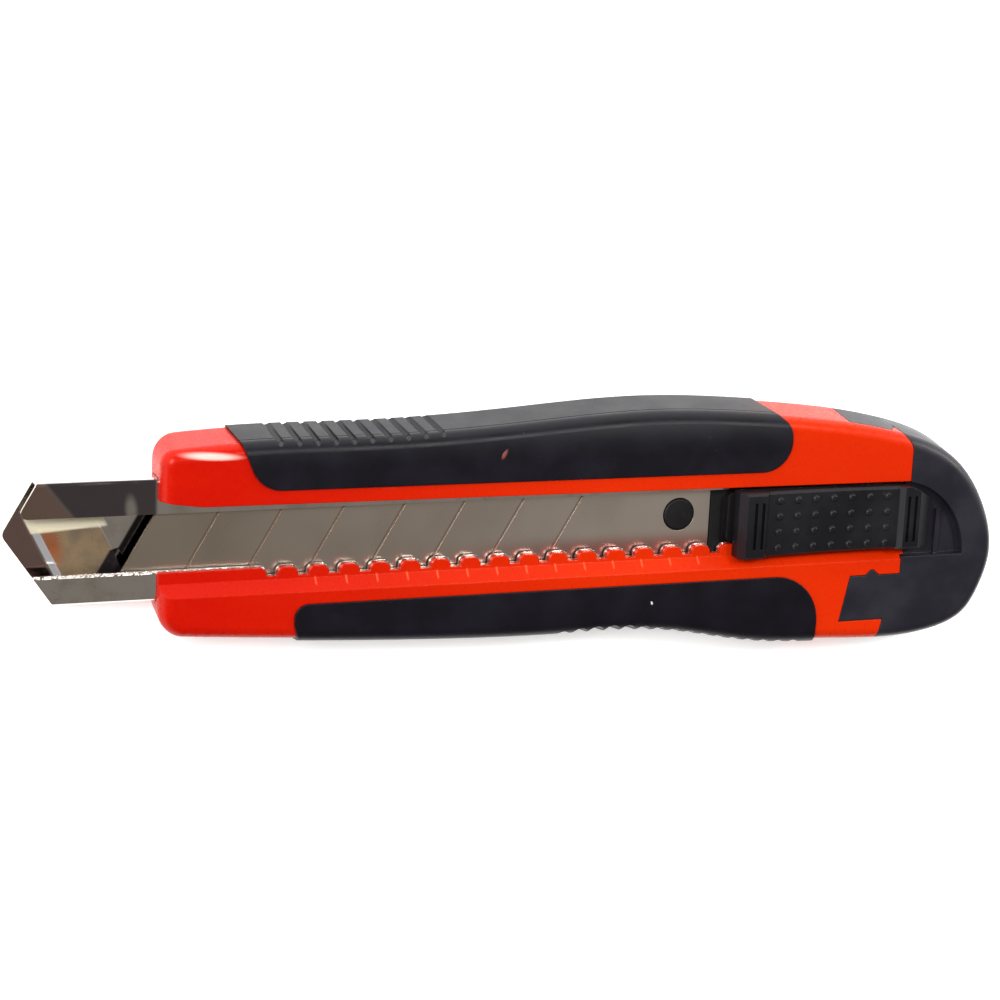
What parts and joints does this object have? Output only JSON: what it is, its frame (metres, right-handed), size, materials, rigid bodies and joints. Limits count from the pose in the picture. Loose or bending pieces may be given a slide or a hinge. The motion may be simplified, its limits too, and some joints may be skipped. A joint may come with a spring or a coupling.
{
  "type": "utility knife",
  "caption": "Snap-off blade utility knife: steel rail in a red moulded handle with black rubber grips, a locking thumb slide and a pull-off end cap.",
  "frame": {"origin": "on the flat back of the handle, in line with the middle of the blade channel", "axes": "+X from the nose towards the end cap, +Y towards the spine, away from the cutting edge, +Z out of the front, the side with the thumb slide"},
  "size_m": [0.1683, 0.0424, 0.0124],
  "materials": {
    "red_plastic": "satin gloss moulded",
    "black_rubber": "matt moulded",
    "rail_steel": "bright plated sheet",
    "blade_steel": "fine ground",
    "spring_steel": "tempered",
    "black_plastic": "satin moulded"
  },
  "bodies": {
    "handle": {"handle_body": "red_plastic", "upper_grip": "black_rubber", "lower_grip": "black_rubber", "blade_rail": "rail_steel"},
    "carriage": {"blade_carrier": "black_plastic", "blade": "blade_steel"},
    "lock": {"lock_spring": "spring_steel"},
    "thumb": {"thumb_slide": "black_plastic"},
    "cap": {"end_cap": "black_plastic"}
  },
  "joints": [
    {"name": "blade_slide", "type": "slide", "parent": "handle", "child": "carriage", "axis": [1, 0, 0], "range_m": [-0.09, 0]},
    {"name": "thumb_shift", "type": "slide", "parent": "carriage", "child": "thumb", "axis": [1, 0, 0], "range_m": [-0.001, 0.001], "stiffness_N_per_m": 2000},
    {"name": "lock_release", "type": "slide", "parent": "carriage", "child": "lock", "axis": [0, 1, 0], "range_m": [0, 0.0016], "stiffness_N_per_m": 2500},
    {"name": "cap_pull", "type": "slide", "parent": "handle", "child": "cap", "axis": [1, 0, 0], "range_m": [0, 0.045]}
  ]
}
